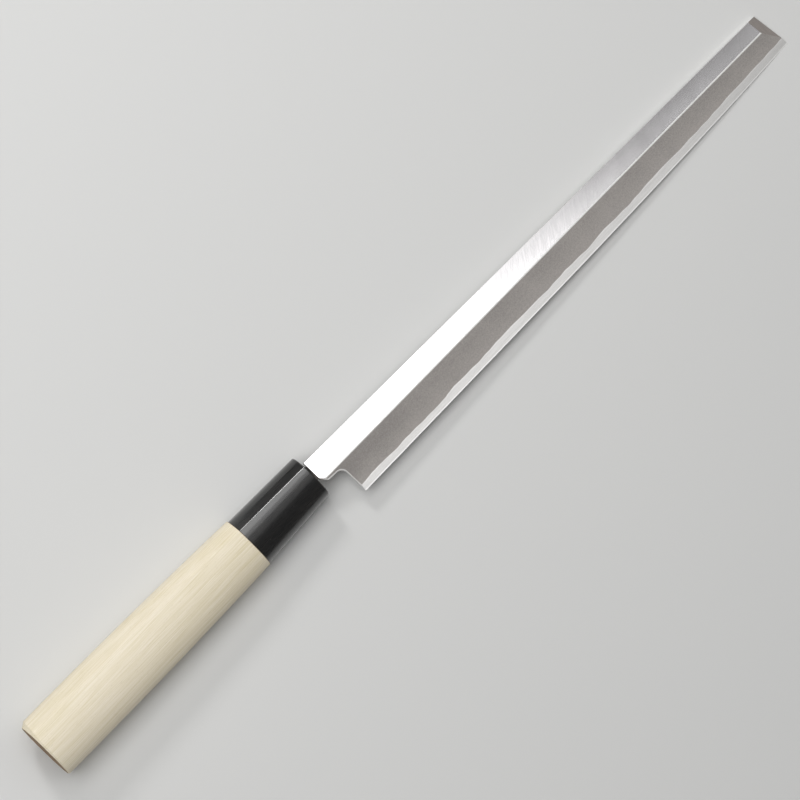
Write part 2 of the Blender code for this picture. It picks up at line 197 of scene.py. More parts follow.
def bump(tree, height, strength, distance):
    made = addNode(tree, "Bump", {"Height": height, "Strength": strength, "Distance": distance})
    return made.outputs["Normal"]


def startMaterial(name):
    # the shader, and Object coordinates turned back into the knife's own frame
    made = bpy.data.materials.new(name)
    made.use_nodes = True
    tree = made.node_tree
    onTable = addNode(tree, "TexCoord").outputs["Object"]
    laid = {"Vector": onTable, "Location": table["knifeAt"], "Rotation": (0, table["tilt"], 0)}
    mapping = addNode(tree, "Mapping", laid, vector_type="TEXTURE")
    return made, tree, tree.nodes["Principled BSDF"], mapping.outputs["Vector"]


def setShader(tree, shader, values):
    for name, value in values.items():
        plug(tree, shader.inputs[name], value)


def startGroup(name, numbers, result):
    # a group that reads coordinates and some numbers and puts out one value
    group = bpy.data.node_groups.new(name, "ShaderNodeTree")
    group.interface.new_socket("Vector", in_out="INPUT", socket_type="NodeSocketVector")
    for number in numbers:
        group.interface.new_socket(number, in_out="INPUT", socket_type="NodeSocketFloat")
    group.interface.new_socket(result, in_out="OUTPUT", socket_type="NodeSocketFloat")
    return group, group.nodes.new("NodeGroupInput").outputs, group.nodes.new("NodeGroupOutput").inputs


def useGroup(tree, group, coords, numbers):
    return addNode(tree, "Group", {"Vector": coords, **numbers}, node_tree=group).outputs[0]


def makeStreaks():
    # lines of a given length and width, turned about z: grinding marks, wood fibres, horn layers
    group, given, out = startGroup("streaks", ("Turn", "Length", "Width", "Seed"), "Streaks")
    turned = addNode(group, "VectorRotate", {"Vector": given["Vector"], "Angle": given["Turn"]},
                     rotation_type="Z_AXIS").outputs[0]
    parts = addNode(group, "SeparateXYZ", {"Vector": turned}).outputs
    along = calc(group, "ADD", calc(group, "DIVIDE", parts["X"], given["Length"]), given["Seed"])
    across = calc(group, "DIVIDE", parts["Y"], given["Width"])
    up = calc(group, "DIVIDE", parts["Z"], given["Width"])
    shifted = addNode(group, "CombineXYZ", {"X": along, "Y": across, "Z": up}).outputs[0]
    lines = addNode(group, "TexNoise", {"Vector": shifted, "Scale": 1.0, "Detail": 2.0, "Roughness": 0.6})
    group.links.new(lines.outputs["Fac"], out["Streaks"])
    return group


def makeMottle():
    # soft uneven patches of a given size
    group, given, out = startGroup("mottle", ("Size", "Seed"), "Mottle")
    finer = calc(group, "DIVIDE", 1.0, given["Size"])
    scaled = vectorCalc(group, "SCALE", {0: given["Vector"], "Scale": finer})
    seed = addNode(group, "CombineXYZ", {"X": given["Seed"]}).outputs[0]
    shifted = vectorCalc(group, "ADD", {0: scaled, 1: seed})
    cloud = addNode(group, "TexNoise", {"Vector": shifted, "Scale": 1.0, "Detail": 3.0, "Roughness": 0.55})
    group.links.new(cloud.outputs["Fac"], out["Mottle"])
    return group


streaksGroup = makeStreaks()
mottleGroup = makeMottle()


def streaks(tree, coords, turn, length, width, seed):
    numbers = {"Turn": turn, "Length": length, "Width": width, "Seed": seed}
    return useGroup(tree, streaksGroup, coords, numbers)


def mottle(tree, coords, size, seed):
    return useGroup(tree, mottleGroup, coords, {"Size": size, "Seed": seed})


# The blade is drawn from its shoulder on, with its back at z 0.
blade = {
    "length": 0.240, "neck": 0.0096, "shoulderGap": 0.0014,
    "spineAtNeck": 0.00575, "spineAtTip": 0.0010,
    "widthAtHeel": 0.0244, "widthAtTip": 0.0166,
    "flatAtHeel": 0.0099, "flatAtTip": 0.0064,
    "belly": 0.0010, "bellyLean": 0.5, "tipLean": 0.0019,
    "thickAtNeck": 0.0032, "thickAtTip": 0.0022, "flatLean": math.radians(0.6),
    "spineEase": 0.00025, "ridgeEase": 0.0006, "honedWidth": 0.00045, "honedRise": 0.00008,
    "tipBevel": 0.0035, "tipThick": 0.00076,
    "step": 0.002, "easePoints": 4, "crease": math.radians(7),
}
back = -blade["thickAtNeck"] / 2
bladeEnd = blade["neck"] + blade["length"]
spineEnd = bladeEnd - blade["tipLean"]
bladePlace = Matrix.Translation((blade["shoulderGap"], 0, back))


def spineY(x):
    return mix(blade["spineAtNeck"], blade["spineAtTip"], x / spineEnd)


def ridgeY(x):
    share = (x - blade["neck"]) / blade["length"]
    return mix(spineY(blade["neck"]) - blade["flatAtHeel"], spineY(bladeEnd) - blade["flatAtTip"], share)


def edgeY(x):
    share = (x - blade["neck"]) / blade["length"]
    atHeel = spineY(blade["neck"]) - blade["widthAtHeel"]
    atTip = spineY(spineEnd) - blade["widthAtTip"]
    lean = 1 + blade["bellyLean"] * (2 * share - 1)
    return mix(atHeel, atTip, share) - blade["belly"] * max(4 * share * (1 - share) * lean, 0)


def flatZ(x, y):
    thick = mix(blade["thickAtNeck"], blade["thickAtTip"], x / spineEnd)
    return thick + math.tan(blade["flatLean"]) * (spineY(x) - y)


def topZ(x, y):
    if y >= ridgeY(x):
        return flatZ(x, y)
    foot = edgeY(x) + blade["honedWidth"]
    return mix(blade["honedRise"], flatZ(x, ridgeY(x)), (y - foot) / (ridgeY(x) - foot))


def bladeSection(x):
    ease = blade["spineEase"]
    spine, ridge, edge = spineY(x), ridgeY(x), edgeY(x)
    top = flatZ(x, spine)
    turns = quarterTurn(blade["easePoints"])
    section = [(spine - ease * (1 - math.sin(turn)), ease * (1 - math.cos(turn))) for turn in turns]
    section += [(spine - ease * (1 - math.cos(turn)), top - ease * (1 - math.sin(turn))) for turn in turns]
    above, below = ridge + blade["ridgeEase"] / 2, ridge - blade["ridgeEase"] / 2
    section += [(above, flatZ(x, above)), (below, topZ(x, below))]
    section += [(edge + blade["honedWidth"], blade["honedRise"]), (edge, 0)]
    return [Vector((x, y, z)) for y, z in section]


def bladeBlank():
    reach = bladeEnd + margin
    bm = pullThrough([bladeSection(x) for x in spread(0, reach, round(reach / blade["step"]) + 1)])
    edgeCorner = Vector((bladeEnd, edgeY(bladeEnd), 0))
    spineCorner = Vector((spineEnd, spineY(spineEnd), 0))
    alongEnd = spineCorner - edgeCorner
    outward = alongEnd.cross(Vector((0, 0, 1))).normalized()
    planeOff(bm, edgeCorner, outward)
    low = spineCorner + Vector((0, 0, blade["tipThick"]))
    high = spineCorner - outward * blade["tipBevel"]
    high.z = flatZ(high.x, high.y)
    slope = alongEnd.cross(low - high)
    if slope.z < 0:
        slope.negate()
    return planeOff(bm, low, slope)


choil = {
    "neckDrop": 0.0057, "dropAtChoil": 0.0060, "cornerLength": 0.0021, "cornerHeight": 0.0029,
    "radius": 0.0027, "heelLean": 0.0004, "points": 17,
    "rimWide": 0.0005, "rimDeep": 0.00022, "rimShare": 1 / 3, "rimPoints": 3, "flareOut": 1.5, "flareUp": 2,
}


def choilLine():
    # from the shoulder under the neck and round to the heel
    radius = choil["radius"]
    centre = Vector((blade["neck"] - choil["heelLean"] - radius, -choil["dropAtChoil"] - radius))
    line = [Vector((-margin, choil["cornerHeight"] - choil["neckDrop"] + margin)),
            Vector((choil["cornerLength"], -choil["neckDrop"]))]
    line += [centre + radius * Vector((math.sin(turn), math.cos(turn)))
             for turn in quarterTurn(choil["points"])]
    top, foot = line[-1], Vector((blade["neck"], edgeY(blade["neck"])))
    line += [top.lerp(foot, share) for share in spread(0, 1, choil["points"])[1:]]
    line.append(foot + (foot - top).normalized() * margin)
    return line


def choilProfile(height):
    # straight up to the rim, round it, and on outwards: how far out and how high
    wide, deep = choil["rimWide"], min(choil["rimDeep"], height * choil["rimShare"])
    rim = [(wide * (1 - math.cos(turn)), height + deep * (math.sin(turn) - 1))
           for turn in quarterTurn(choil["rimPoints"])]
    return [(0, -margin), *rim, (choil["flareOut"] * wide, height + choil["flareUp"] * deep)]


def choilTool():
    # stands on the choil line, and flares at the top so that the corner there comes out rounded
    line = choilLine()
    sides = [(b - a).normalized() for a, b in zip(line, line[1:])]
    columns = []
    for spot, before, after in zip(line, [sides[0], *sides], [*sides, sides[-1]]):
        along = (before + after).normalized()
        inward = Vector((-along.y, along.x))
        height = max(topZ(max(spot.x, 0), spot.y), blade["honedRise"])
        columns.append([Vector((*(spot + inward * out), z)) for out, z in choilProfile(height)])
    low, left = line[-1].y - margin, line[0].x - margin
    rings = []
    for ring in zip(*columns):
        first, last = ring[0], ring[-1]
        outside = [(last.x, low, last.z), (left, low, last.z), (left, first.y, first.z)]
        rings.append([*ring, *(Vector(spot) for spot in outside)])
    return pullThrough(rings)


steel = {
    "thick": 0.00067, "start": 0.0030, "gap": 0.00002, "step": 0.0007,
    # where the hammered joint turns: along the blade, and above the back
    "turns": ((0.010, 0.00057), (0.016, 0.00069), (0.030, 0.00059), (0.037, 0.00063), (0.045, 0.00056),
              (0.057, 0.00057), (0.062, 0.00073), (0.075, 0.00063), (0.090, 0.00073), (0.105, 0.00068),
              (0.115, 0.00061), (0.125, 0.00068), (0.137, 0.00057), (0.147, 0.00068), (0.160, 0.00057),
              (0.175, 0.00070), (0.190, 0.00063), (0.205, 0.00061), (0.220, 0.00068), (0.241, 0.00065)),
    "jog": 0.000018, "jogLength": 0.0095, "drift": 0.35, "driftLength": 0.041,
}


def weldZ(x):
    # straight from turn to turn, with short uneven jogs on it
    turns = steel["turns"]
    for (start, low), (end, high) in zip(turns, turns[1:]):
        if x < end:
            break
    share = min(max((x - start) / (end - start), 0), 1)
    drift = steel["drift"] * math.sin(math.tau * x / steel["driftLength"])
    return mix(low, high, share) + steel["jog"] * math.sin(math.tau * (x / steel["jogLength"] + drift))


def weldSlab(start, drop):
    # everything below the weld line
    end = bladeEnd + 2 * margin
    side = blade["widthAtHeel"] + blade["spineAtNeck"]
    sections = []
    for x in spread(start, end, round((end - start) / steel["step"]) + 1):
        top = weldZ(x) - drop
        corners = ((-side, -margin), (side, -margin), (side, top), (-side, top))
        sections.append([Vector((x, y, z)) for y, z in corners])
    return pullThrough(sections)


hollow = {
    "depth": 0.00033, "atSpine": 0.0013, "atEdge": 0.0015, "atHeel": 0.0030, "atTip": 0.0028,
    "runOut": 0.012, "over": 1.1, "points": 33, "turns": 17, "step": 0.003,
}


def hollowTool():
    # a shallow trough under the blade that narrows and runs out at both ends
    start, end = blade["neck"] + hollow["atHeel"], bladeEnd - hollow["atTip"]
    run = hollow["runOut"]
    turns = quarterTurn(hollow["turns"])[1:]
    between = spread(start + run, end - run, round((end - start - 2 * run) / hollow["step"]))
    stations = [(start + run * (1 - math.cos(turn)), math.sin(turn)) for turn in turns]
    stations += [(x, 1) for x in between[1:-1]]
    stations += [(end - run * (1 - math.cos(turn)), math.sin(turn)) for turn in reversed(turns)]
    widest = spineY(blade["neck"]) - edgeY(blade["neck"]) - hollow["atSpine"] - hollow["atEdge"]
    over = hollow["over"]
    sections = []
    for x, full in stations:
        high, low = spineY(x) - hollow["atSpine"], edgeY(x) + hollow["atEdge"]
        centre, half = (high + low) / 2, (high - low) / 2 * full
        depth = hollow["depth"] * (2 * half / widest) ** 2
        section = [Vector((x, centre - half * over, -margin))]
        section += [Vector((x, centre + half * share, depth * (1 - share * share)))
                    for share in spread(-over, over, hollow["points"])]
        section.append(Vector((x, centre + half * over, -margin)))
        sections.append(section)
    return pullThrough(sections)


tang = {
    "length": 0.098, "widthAtRoot": 0.0070, "widthAtEnd": 0.0034,
    "thickAtRoot": 0.0028, "thickAtEnd": 0.0017, "rise": 0.0008, "inNeck": 0.0018,
    "clearance": 0.0003, "holeExtra": 0.004,
}


def tangBar(clearance, extra):
    middle = blade["thickAtNeck"] / 2
    root = (tang["inNeck"], tang["widthAtRoot"], tang["thickAtRoot"], tang["rise"])
    end = (-tang["length"] - extra, tang["widthAtEnd"], tang["thickAtEnd"], 0)
    sections = []
    for x, width, thick, rise in (root, end):
        w, t = width / 2 + clearance, thick / 2 + clearance
        corners = ((-w, -t), (w, -t), (w, t), (-w, t))
        sections.append([Vector((x, rise + across, middle + up)) for across, up in corners])
    return pullThrough(sections)


metals = {
    "flat": (0.56, 0.548, 0.553), "flatDull": 0.89, "flatRough": 0.13, "markTurn": math.radians(-52),
    # the next three numbers paint a reflection: the flat's colour is made lighter towards the ridge
    "paintedSheenAtRidge": 1.2, "paintedSheenFrom": 0.0015, "paintedSheenTo": -0.0035,
    "iron": (0.445, 0.418, 0.398), "ironDark": 0.82, "ironLight": 1.22, "ironRough": 0.60,
    "corner": (0.93, 0.92, 0.90), "cornerRough": 0.52, "tip": (0.69, 0.63, 0.59), "tipRough": 0.50,
    "crossDull": 0.80, "crossTurn": math.radians(80),
    "steel": (0.84, 0.83, 0.815), "steelDull": 0.84, "steelRough": 0.50, "grain": 0.90,
    "honed": (0.97, 0.96, 0.95), "honedDull": 0.93, "honedRough": 0.50, "honedTurn": math.radians(60),
    "rim": (0.64, 0.64, 0.63), "rimRough": 0.2,
    "hollow": (0.70, 0.70, 0.69), "hollowDull": (0.50, 0.50, 0.50), "wheelTurn": math.radians(84),
    "scale": (0.05, 0.046, 0.043), "scaleWorn": (0.12, 0.10, 0.09),
}


def heightIn(tree, coords):
    # height above the blade's back
    return calc(tree, "SUBTRACT", axis(tree, coords, "Z"), back)


def acrossBlade(tree):
    # fine lines along the blade scatter light across it
    return addNode(tree, "CombineXYZ", {"Y": 1.0}).outputs[0]


def polishedFlat():
    # ground bright, with fine slanting lines that show where the reflection fades
    made, tree, shader, coords = startMaterial("polishedFlat")
    fine = streaks(tree, coords, turn=metals["markTurn"], length=0.006, width=0.0003, seed=3.0)
    coarse = streaks(tree, coords, turn=metals["markTurn"], length=0.009, width=0.0007, seed=11.0)
    cloud = mottle(tree, coords, size=0.02, seed=5.0)
    lines = fade(tree, calc(tree, "MULTIPLY", fine, coarse), 0.15, 0.33)
    colour = blendColours(tree, lines, shade(metals["flat"], metals["flatDull"]), metals["flat"])
    # the stone has crowned the flat a little; the light that crown catches towards the ridge is painted into
    # the colour, which grows lighter there: a painted reflection
    paintedSheen = fade(tree, axis(tree, coords, "Y"), metals["paintedSheenFrom"], metals["paintedSheenTo"],
                 1, metals["paintedSheenAtRidge"])
    rough = vary(tree, cloud, metals["flatRough"] - 0.02, metals["flatRough"] + 0.02)
    setShader(tree, shader, {
        "Base Color": vectorCalc(tree, "SCALE", {0: colour, "Scale": paintedSheen}), "Metallic": 1.0,
        "Roughness": total(tree, fade(tree, lines, 0, 1, 0.05, 0), rough),
        "Normal": bump(tree, fine, strength=0.05, distance=0.00002),
    })
    return made


def kasumiIron():
    # soft iron finished on stones: a matte misty grey with a fine grit
    made, tree, shader, coords = startMaterial("kasumiIron")
    grit = mottle(tree, coords, size=0.00045, seed=2.0)
    drawn = streaks(tree, coords, turn=0.0, length=0.012, width=0.0004, seed=4.0)
    cloud = mottle(tree, coords, size=0.012, seed=9.0)
    # hazier towards the weld, and darker under the ridge near the heel
    underRidge = fade(tree, axis(tree, coords, "X"), 0.012, 0.055, -0.85, -0.15)
    haze = fade(tree, heightIn(tree, coords), steel["thick"], 0.7 * blade["thickAtNeck"], 0.70, underRidge)
    tone = total(tree, fade(tree, grit, 0.25, 0.75, -1.0, 1.0), vary(tree, drawn, -0.1, 0.1),
                 vary(tree, cloud, -0.3, 0.3), haze)
    dark, light = shade(metals["iron"], metals["ironDark"]), shade(metals["iron"], metals["ironLight"])
    rough = metals["ironRough"]
    setShader(tree, shader, {
        "Base Color": blendColours(tree, fade(tree, tone, -1, 1), dark, light), "Metallic": 1.0,
        "Roughness": vary(tree, cloud, rough - 0.04, rough + 0.04),
        "Normal": bump(tree, grit, strength=0.15, distance=0.00003),
    })
    return made


def crossGround(name, colour, rough):
    # corners, tip and the rim of the back, ground across the blade
    made, tree, shader, coords = startMaterial(name)
    lines = streaks(tree, coords, turn=metals["crossTurn"], length=0.004, width=0.00018, seed=6.0)
    dull = shade(colour, metals["crossDull"])
    setShader(tree, shader, {
        "Base Color": blendColours(tree, fade(tree, lines, 0.3, 0.65), dull, colour), "Metallic": 1.0,
        "Roughness": vary(tree, lines, rough + 0.06, rough),
        "Normal": bump(tree, lines, strength=0.08, distance=0.00003),
    })
    return made


def forgeScale():
    # the tang keeps its dark skin from the fire
    made, tree, shader, coords = startMaterial("forgeScale")
    patches = mottle(tree, coords, size=0.0016, seed=1.0)
    worn = fade(tree, patches, 0.4, 0.65)
    setShader(tree, shader, {
        "Base Color": blendColours(tree, worn, metals["scale"], metals["scaleWorn"]), "Metallic": 0.7,
        "Roughness": vary(tree, patches, 0.75, 0.5),
        "Normal": bump(tree, patches, strength=0.5, distance=0.0001),
    })
    return made


def hardSteel():
    # the lighter strip along the edge, with faint lines drawn along it and a paler rim at the weld
    made, tree, shader, coords = startMaterial("hardSteel")
    drawn = streaks(tree, coords, turn=0.0, length=0.010, width=0.00025, seed=7.0)
    grit = mottle(tree, coords, size=0.0006, seed=8.0)
    rim = fade(tree, heightIn(tree, coords), 0.78 * steel["thick"], 0.98 * steel["thick"], -0.15, 0.30)
    share = total(tree, vary(tree, drawn, 0, 0.6), vary(tree, grit, 0, 0.4), rim)
    dull, rough = shade(metals["steel"], metals["steelDull"]), metals["steelRough"]
    setShader(tree, shader, {
        "Base Color": blendColours(tree, share, dull, metals["steel"]), "Metallic": 1.0,
        "Roughness": fade(tree, share, 0, 1, rough + 0.05, rough - 0.03),
        "Anisotropic": metals["grain"], "Tangent": acrossBlade(tree),
        "Normal": bump(tree, drawn, strength=0.08, distance=0.00002),
    })
    return made


def honedEdge():
    # the last narrow bevel, off the finest stone
    made, tree, shader, coords = startMaterial("honedEdge")
    lines = streaks(tree, coords, turn=metals["honedTurn"], length=0.001, width=0.0001, seed=2.0)
    dull, rough = shade(metals["honed"], metals["honedDull"]), metals["honedRough"]
    setShader(tree, shader, {
        "Base Color": blendColours(tree, lines, dull, metals["honed"]), "Metallic": 1.0,
        "Roughness": vary(tree, lines, rough + 0.04, rough - 0.04),
        "Anisotropic": metals["grain"], "Tangent": acrossBlade(tree),
    })
    return made


def hollowBack():
    # the hollow-ground back: lines from the wheel run across it
    made, tree, shader, coords = startMaterial("hollowBack")
    across = streaks(tree, coords, turn=metals["wheelTurn"], length=0.009, width=0.0002, seed=12.0)
    bands = streaks(tree, coords, turn=metals["wheelTurn"], length=0.03, width=0.0016, seed=14.0)
    share = total(tree, vary(tree, across, 0, 0.65), vary(tree, bands, 0, 0.35))
    setShader(tree, shader, {
        "Base Color": blendColours(tree, share, metals["hollowDull"], metals["hollow"]), "Metallic": 1.0,
        "Roughness": fade(tree, share, 0, 1, 0.34, 0.2),
        "Normal": bump(tree, across, strength=0.12, distance=0.00003),
    })
    return made


# What tells the faces of the blade apart.
parting = {
    "neckEnd": 0.0001, "endFacing": 0.15, "sideFacing": 0.5,
    "underTop": 0.00003, "rimHeight": 0.00001,
}


def onTip(spot, normal):
    return normal.x > parting["endFacing"] and spot.x > bladeEnd - 2 * blade["tipBevel"]


def onCorner(spot, normal):
    # the spine, and the rounded corner along neck and choil
    return normal.z < parting["sideFacing"] or spot.z < topZ(spot.x, spot.y) - parting["underTop"]


def ironLook(centre, normal):
    spot = bladePlace.inverted() @ centre
    if spot.x < parting["neckEnd"]:
        return "tang"
    if onTip(spot, normal):
        return "tip"
    if onCorner(spot, normal):
        return "corner"
    return "flat" if spot.y > ridgeY(spot.x) - blade["ridgeEase"] / 2 else "bevel"


def steelLook(centre, normal):
    spot = bladePlace.inverted() @ centre
    if normal.z < -parting["sideFacing"]:
        return "rim" if spot.z < parting["rimHeight"] else "back"
    if onTip(spot, normal):
        return "tip"
    if onCorner(spot, normal):
        return "corner"
    return "edge" if spot.y < edgeY(spot.x) + blade["honedWidth"] else "strip"


def buildBlade():
    blank = bladeBlank()
    iron = makePiece("bladeIron", blank.copy())
    hard = makePiece("bladeSteel", blank)
    carve(iron, choilTool())
    carve(hard, choilTool())
    carve(iron, weldSlab(steel["start"], 0))
    carve(iron, tangBar(0, 0), "UNION")
    carve(hard, weldSlab(steel["start"] + steel["gap"], steel["gap"]), "INTERSECT")
    carve(hard, hollowTool())
    for piece in (iron, hard):
        piece.data.transform(bladePlace)

    tip = crossGround("tipGround", metals["tip"], metals["tipRough"])
    ironLooks = {
        "flat": polishedFlat(), "bevel": kasumiIron(), "tang": forgeScale(), "tip": tip,
        "corner": crossGround("ironCorner", metals["corner"], metals["cornerRough"]),
    }
    # the rim that the hollow leaves on the back comes off the same fine stone as the edge
    steelLooks = {
        "strip": hardSteel(), "edge": honedEdge(), "back": hollowBack(), "tip": tip,
        "corner": crossGround("steelCorner", metals["honed"], metals["cornerRough"]),
        "rim": crossGround("backRim", metals["rim"], metals["rimRough"]),
    }
    finishPiece(iron, "blade_iron", blade["crease"], ironLooks, ironLook)
    finishPiece(hard, "blade_steel", blade["crease"], steelLooks, steelLook)


grip = {
    "ferrule": 0.0352, "wood": 0.1117, "seatGap": 0.0001,
    # to the spine side, to the edge side, and half the thickness
    "front": (0.0101, 0.0097, 0.0082), "woodFront": (0.0113, 0.0121, 0.0097),
    "butt": (0.01389, 0.0128, 0.01089),
    "swell": 0.00054, "step": 0.0005, "facet": 0.0057, "crown": 0.0030, "ridgeEase": 0.00055,
    "ferruleEase": 0.0004, "woodEase": 0.00025, "buttEase": 0.0004, "buttBackEase": 0.0015, "buttSlant": 1.5,
    "tenon": 0.0063, "tenonRecess": 0.0003, "rest": math.radians(16), "restEase": math.radians(2),
    "crownPoints": 52, "bellyPoints": 34, "backPoints": 45, "crestPoints": 9, "facetPoints": 5,
    "easePoints": 4, "woodStations": 25, "ferruleStations": 9, "barSides": 96,
    "crease": math.radians(24), "endFacing": 0.6,
}
woodFrontX = -grip["ferrule"] - grip["seatGap"]
tenonY = (grip["front"][0] - grip["front"][1]) / 2


def gripSection(toBack, toBelly, thick):
    # an oval, crowned above, with a finger ridge and a flat behind it, and a narrow flat to rest on below
    reach = toBelly + grip["crown"]
    across = toBack - grip["facet"]
    start = math.acos((across - grip["crown"]) / reach)
    ridge = Vector((across, thick * math.sin(start)))
    side, up = ridge.x / toBack, ridge.y / thick
    touch = math.atan2(up, side) - math.acos(1 / math.hypot(side, up))
    lowest, rest, soft = math.tau * 3 / 4, grip["rest"], grip["restEase"]

    def underSpot(turn):
        wide = toBack if math.cos(turn) > 0 else toBelly
        height = thick if math.sin(turn) > 0 else thick / math.cos(rest)
        return Vector((wide * math.cos(turn), height * math.sin(turn)))

    crown = [Vector((grip["crown"] + reach * math.cos(turn), thick * math.sin(turn)))
             for turn in spread(start + grip["ridgeEase"] / reach, math.pi, grip["crownPoints"])]
    belly = [underSpot(turn) for turn in spread(math.pi, lowest - rest - soft, grip["bellyPoints"])]
    flat = [Vector((wide * math.sin(rest - soft), -thick)) for wide in (-toBelly, 0, toBack)]
    rear = [underSpot(turn) for turn in spread(lowest + rest + soft, touch + math.tau, grip["backPoints"])]
    fromBack = ridge + (rear[-1] - ridge).normalized() * grip["ridgeEase"]
    facet = [rear[-1].lerp(fromBack, share) for share in spread(0, 1, grip["facetPoints"])[1:-1]]
    crest = bend(fromBack, ridge, crown[0], grip["crestPoints"])[:-1]
    return [*facet, *crest, *crown[:-1], *belly, *flat, *rear]


def ringAt(section, x):
    return [Vector((x, spot.x, spot.y)) for spot in section]


def drawIn(section, easeOf, share):
    # every spot moves towards the middle by a share of its own ease
    return [spot - spot.normalized() * easeOf(spot) * share for spot in section]


def roundedEnd(section, x, ease, points):
    # rings from the side round the corner to an end face that looks along x
    return [ringAt(drawIn(section, lambda spot: ease, 1 - math.cos(turn)), x - ease * (1 - math.sin(turn)))
            for turn in quarterTurn(points)]


def chamferedEnd(section, x, inward, easeOf, slant=1.0):
    # a flat chamfer, from the ring at its side to the ring at its end face
    side = [Vector((x + inward * easeOf(spot) * slant, spot.x, spot.y)) for spot in section]
    return [side, ringAt(drawIn(section, easeOf, 1), x)]


def sizesBetween(start, end, share, swell=0.0):
    # only the two widths swell, not the thickness
    fuller = 4 * swell * share * (1 - share)
    return [mix(a, b, share) + more for a, b, more in zip(start, end, (fuller, fuller, 0))]


def ferruleBody():
    rear = [size - grip["step"] for size in grip["woodFront"]]
    sections = []
    for share in spread(0, 1, grip["ferruleStations"])[:-1]:
        sizes = sizesBetween(rear, grip["front"], share)
        sections.append(ringAt(gripSection(*sizes), mix(-grip["ferrule"], 0, share)))
    sections += chamferedEnd(gripSection(*grip["front"]), 0, -1, lambda spot: grip["ferruleEase"])
    return pullThrough(sections)


def buttEase(spot):
    # wider at the spine side's corner, where it would press into the palm
    toBack, toBelly = grip["butt"][:2]
    share = min(max((spot.x + toBelly) / (toBack + toBelly), 0), 1)
    return mix(grip["buttEase"], grip["buttBackEase"], share ** 4)


def woodBody():
    butt = woodFrontX - grip["wood"]
    sections = chamferedEnd(gripSection(*grip["butt"]), butt, 1, buttEase, grip["buttSlant"])[::-1]
    for share in spread(0, 1, grip["woodStations"])[1:-1]:
        sizes = sizesBetween(grip["butt"], grip["woodFront"], share, grip["swell"])
        sections.append(ringAt(gripSection(*sizes), mix(butt, woodFrontX, share)))
    sections += roundedEnd(gripSection(*grip["woodFront"]), woodFrontX, grip["woodEase"], grip["easePoints"])
    return pullThrough(sections)


def roundBar(radius, start, end):
    bm = bmesh.new()
    place = Matrix.Translation(((start + end) / 2, tenonY, 0)) @ Matrix.Rotation(math.pi / 2, 4, "Y")
    bmesh.ops.create_cone(bm, cap_ends=True, segments=grip["barSides"], radius1=radius, radius2=radius,
                          depth=end - start, matrix=place)
    return bm


woods = {
    "light": (0.895, 0.815, 0.67), "dark": (0.70, 0.61, 0.38), "pore": (0.50, 0.40, 0.24),
    # the end colours are the end grain's own brown with painted shade in them
    "endGrainShadeLight": (0.36, 0.24, 0.13), "endGrainShadeDark": (0.20, 0.12, 0.06),
    "ringWidth": 0.0021, "heart": (-0.030, -0.052), "wander": 0.006, "wanderScale": (14, 60, 60),
    "ringShare": 0.16, "endRingShare": 0.5,
}
horns = {
    "black": (0.004, 0.004, 0.004), "streak": (0.022, 0.019, 0.017), "pit": (0.11, 0.10, 0.095),
    "rough": 0.28, "coatRough": 0.11,
}


def makeGrowthRings():
    # the tree's rings as bands round a heart line that runs beside the handle
    group, given, out = startGroup("growthRings", ("Ring Width", "Wander"), "Rings")
    parts = addNode(group, "SeparateXYZ", {"Vector": given["Vector"]}).outputs
    y = calc(group, "SUBTRACT", parts["Y"], woods["heart"][0])
    z = calc(group, "SUBTRACT", parts["Z"], woods["heart"][1])
    squares = total(group, calc(group, "MULTIPLY", y, y), calc(group, "MULTIPLY", z, z))
    slow = vectorCalc(group, "MULTIPLY", {0: given["Vector"], 1: woods["wanderScale"]})
    drift = addNode(group, "TexNoise", {"Vector": slow, "Scale": 1.0, "Detail": 2.0}).outputs["Fac"]
    wandered = calc(group, "MULTIPLY_ADD", drift, given["Wander"], calc(group, "SQRT", squares))
    phase = calc(group, "FRACT", calc(group, "DIVIDE", wandered, given["Ring Width"]))
    late, early = fade(group, phase, 0.55, 0.97), fade(group, phase, 0.0, 0.05, 1.0, 0.0)
    group.links.new(calc(group, "MAXIMUM", late, early), out["Rings"])
    return group


ringsGroup = makeGrowthRings()


def growthRings(tree, coords):
    return useGroup(tree, ringsGroup, coords, {"Ring Width": woods["ringWidth"], "Wander": woods["wander"]})


def magnolia():
    # pale wood: soft growth rings, fibres along it and short darker pores
    made, tree, shader, coords = startMaterial("magnolia")
    rings = growthRings(tree, coords)
    fibres = streaks(tree, coords, turn=0.0, length=0.026, width=0.00026, seed=1.0)
    pores = fade(tree, streaks(tree, coords, turn=0.0, length=0.0025, width=0.00013, seed=21.0), 0.64, 0.74)
    cloud = mottle(tree, coords, size=0.03, seed=3.0)
    tone = total(tree, calc(tree, "MULTIPLY", rings, woods["ringShare"]), vary(tree, fibres, -0.1, 0.60),
                 vary(tree, cloud, -0.05, 0.10))
    wood = blendColours(tree, tone, woods["light"], woods["dark"])
    relief = calc(tree, "SUBTRACT", fibres, calc(tree, "MULTIPLY", pores, 0.6))
    setShader(tree, shader, {
        "Base Color": blendColours(tree, calc(tree, "MULTIPLY", pores, 0.5), wood, woods["pore"]),
        "Roughness": vary(tree, fibres, 0.50, 0.62), "Specular IOR Level": 0.35,
        "Normal": bump(tree, relief, strength=0.2, distance=0.00006),
    })
    return made


def magnoliaEndShaded():
    # end grain drinks in more light and shows the rings as arcs; its dark brown is partly the end grain's
    # own colour and partly painted shade for an end face that turns away from the lamps
    made, tree, shader, coords = startMaterial("magnoliaEndShaded")
    rings = growthRings(tree, coords)
    specks = mottle(tree, coords, size=0.0003, seed=4.0)
    tone = total(tree, calc(tree, "MULTIPLY", rings, woods["endRingShare"]), vary(tree, specks, 0, 0.5))
    setShader(tree, shader, {
        "Base Color": blendColours(tree, tone, woods["endGrainShadeLight"], woods["endGrainShadeDark"]),
        "Roughness": vary(tree, specks, 0.65, 0.8),
        "Normal": bump(tree, specks, strength=0.3, distance=0.00008),
    })
    return made


